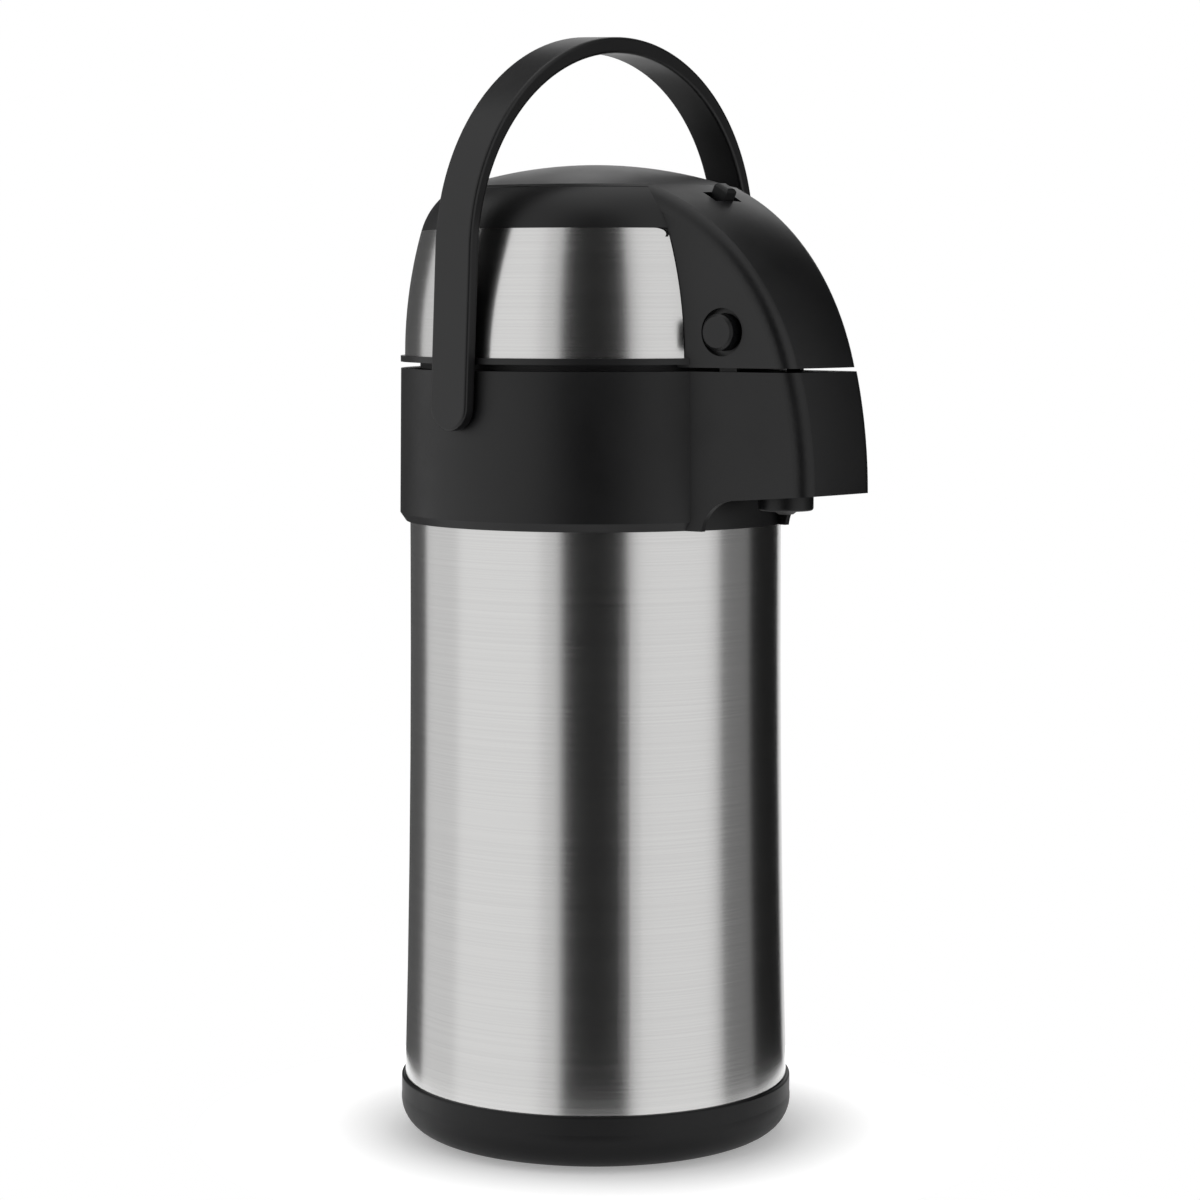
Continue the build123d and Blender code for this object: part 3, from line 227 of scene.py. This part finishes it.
# Painted shadow: glow kept low near the base, rising with distance to full white at the rim
paintedShadowFade = floorTree.nodes.new("ShaderNodeMapRange")
paintedShadowFade.inputs["From Min"].default_value = floorDisc["paintedShadowFade"][0]
paintedShadowFade.inputs["From Max"].default_value = floorDisc["paintedShadowFade"][1]
paintedShadowFade.inputs["To Min"].default_value = floorDisc["glow"][0]
paintedShadowFade.inputs["To Max"].default_value = floorDisc["glow"][1]
floorTree.links.new(coords.outputs["Object"], reach.inputs[0])
floorTree.links.new(reach.outputs["Value"], paintedShadowFade.inputs["Value"])
floorTree.links.new(paintedShadowFade.outputs["Result"], floorShader.inputs["Emission Strength"])
floor.data.materials.append(paleFloor)

# Black flags round the set, in degrees to the right of the camera's direction; the white
# surroundings show in the steel between them
flagCards = {"distance": 1.5, "low": -0.9, "high": 2.6, "grey": 0.02}
flags = {
    "flag_camera": dict(turn=-0.7, span=39.4),
    "flag_side": dict(turn=93.8, span=27.7, glow=0.26),
    "flag_back_right": dict(turn=130.4, span=45.3),
    "flag_back_left": dict(turn=211.0, span=45.0, glow=0.09),
}

for name, flag in flags.items():
    place, turned = roundSet(flag["turn"], flagCards["distance"],
                             (flagCards["low"] + flagCards["high"]) / 2)
    bpy.ops.mesh.primitive_plane_add(size=1, location=place, rotation=turned)
    card = bpy.context.object
    card.name = name
    card.scale = (2 * flagCards["distance"] * math.tan(math.radians(flag["span"] / 2)),
                  flagCards["high"] - flagCards["low"], 1)
    cloth = stageMaterial(name + "Cloth", flagCards["grey"], flag.get("glow", 0))[0]
    card.data.materials.append(cloth)
    card.visible_camera = False

# White surroundings, full where they are seen or mirrored and a little less as light
whiteLevel = {"asLight": 0.8, "asSeen": 1.0}

world = bpy.data.worlds.new("studioWorld")
bpy.context.scene.world = world
world.use_nodes = True
worldTree = world.node_tree
background = worldTree.nodes["Background"]
background.inputs["Color"].default_value = (1, 1, 1, 1)
lightPath = worldTree.nodes.new("ShaderNodeLightPath")
seen = worldTree.nodes.new("ShaderNodeMath")
seen.operation = "MAXIMUM"
seenToo = worldTree.nodes.new("ShaderNodeMath")
seenToo.operation = "MAXIMUM"
level = worldTree.nodes.new("ShaderNodeMapRange")
level.inputs["To Min"].default_value = whiteLevel["asLight"]
level.inputs["To Max"].default_value = whiteLevel["asSeen"]
worldTree.links.new(lightPath.outputs["Is Camera Ray"], seen.inputs[0])
worldTree.links.new(lightPath.outputs["Is Glossy Ray"], seen.inputs[1])
worldTree.links.new(seen.outputs[0], seenToo.inputs[0])
worldTree.links.new(lightPath.outputs["Is Transmission Ray"], seenToo.inputs[1])
worldTree.links.new(seenToo.outputs[0], level.inputs["Value"])
worldTree.links.new(level.outputs["Result"], background.inputs["Strength"])

softboxes = {
    "left_box": dict(turn=-62, distance=1.35, height=0.5, width=1.5, tall=1.7, power=2.0),
    "right_box": dict(turn=49, distance=1.35, height=0.5, width=1.2, tall=1.7, power=1.3),
}

for name, box in softboxes.items():
    place, turned = roundSet(box["turn"], box["distance"], box["height"])
    bpy.ops.object.light_add(type="AREA", location=place, rotation=turned)
    lamp = bpy.context.object
    lamp.name = name
    lamp.data.shape = "RECTANGLE"
    lamp.data.size = box["width"]
    lamp.data.size_y = box["tall"]
    lamp.data.energy = box["power"]
    lamp.visible_camera = False

topBox = {"place": (0.1, 0.2, 2.2), "size": 1.2, "power": 1.6}
bpy.ops.object.light_add(type="AREA", location=topBox["place"])
lamp = bpy.context.object
lamp.name = "top_box"
lamp.data.size = topBox["size"]
lamp.data.energy = topBox["power"]
lamp.visible_camera = False
print("studio lit")


cameraSetup = {
    "distance": 1.34985,
    "away": (0.737277, 0.675590),
    "height": 0.3513,
    "down": 0.094,
    "yaw": 0.001347,
    "lens": 96.8985,
    "sensor": 36,
    "nearest": 0.05,
    "farthest": 20,
}
awayX, awayY = cameraSetup["away"]
distance = cameraSetup["distance"]
bpy.ops.object.camera_add(
    location=(-awayX * distance, -awayY * distance, cameraSetup["height"]),
    rotation=(math.pi / 2 - cameraSetup["down"], 0,
              math.atan2(awayY, awayX) - math.pi / 2 - cameraSetup["yaw"]),
)
camera = bpy.context.object
camera.name = "camera"
camera.data.sensor_width = cameraSetup["sensor"]
camera.data.lens = cameraSetup["lens"]
camera.data.clip_start = cameraSetup["nearest"]
camera.data.clip_end = cameraSetup["farthest"]
bpy.context.scene.camera = camera
bpy.context.scene.view_settings.view_transform = "Standard"

print("camera set")
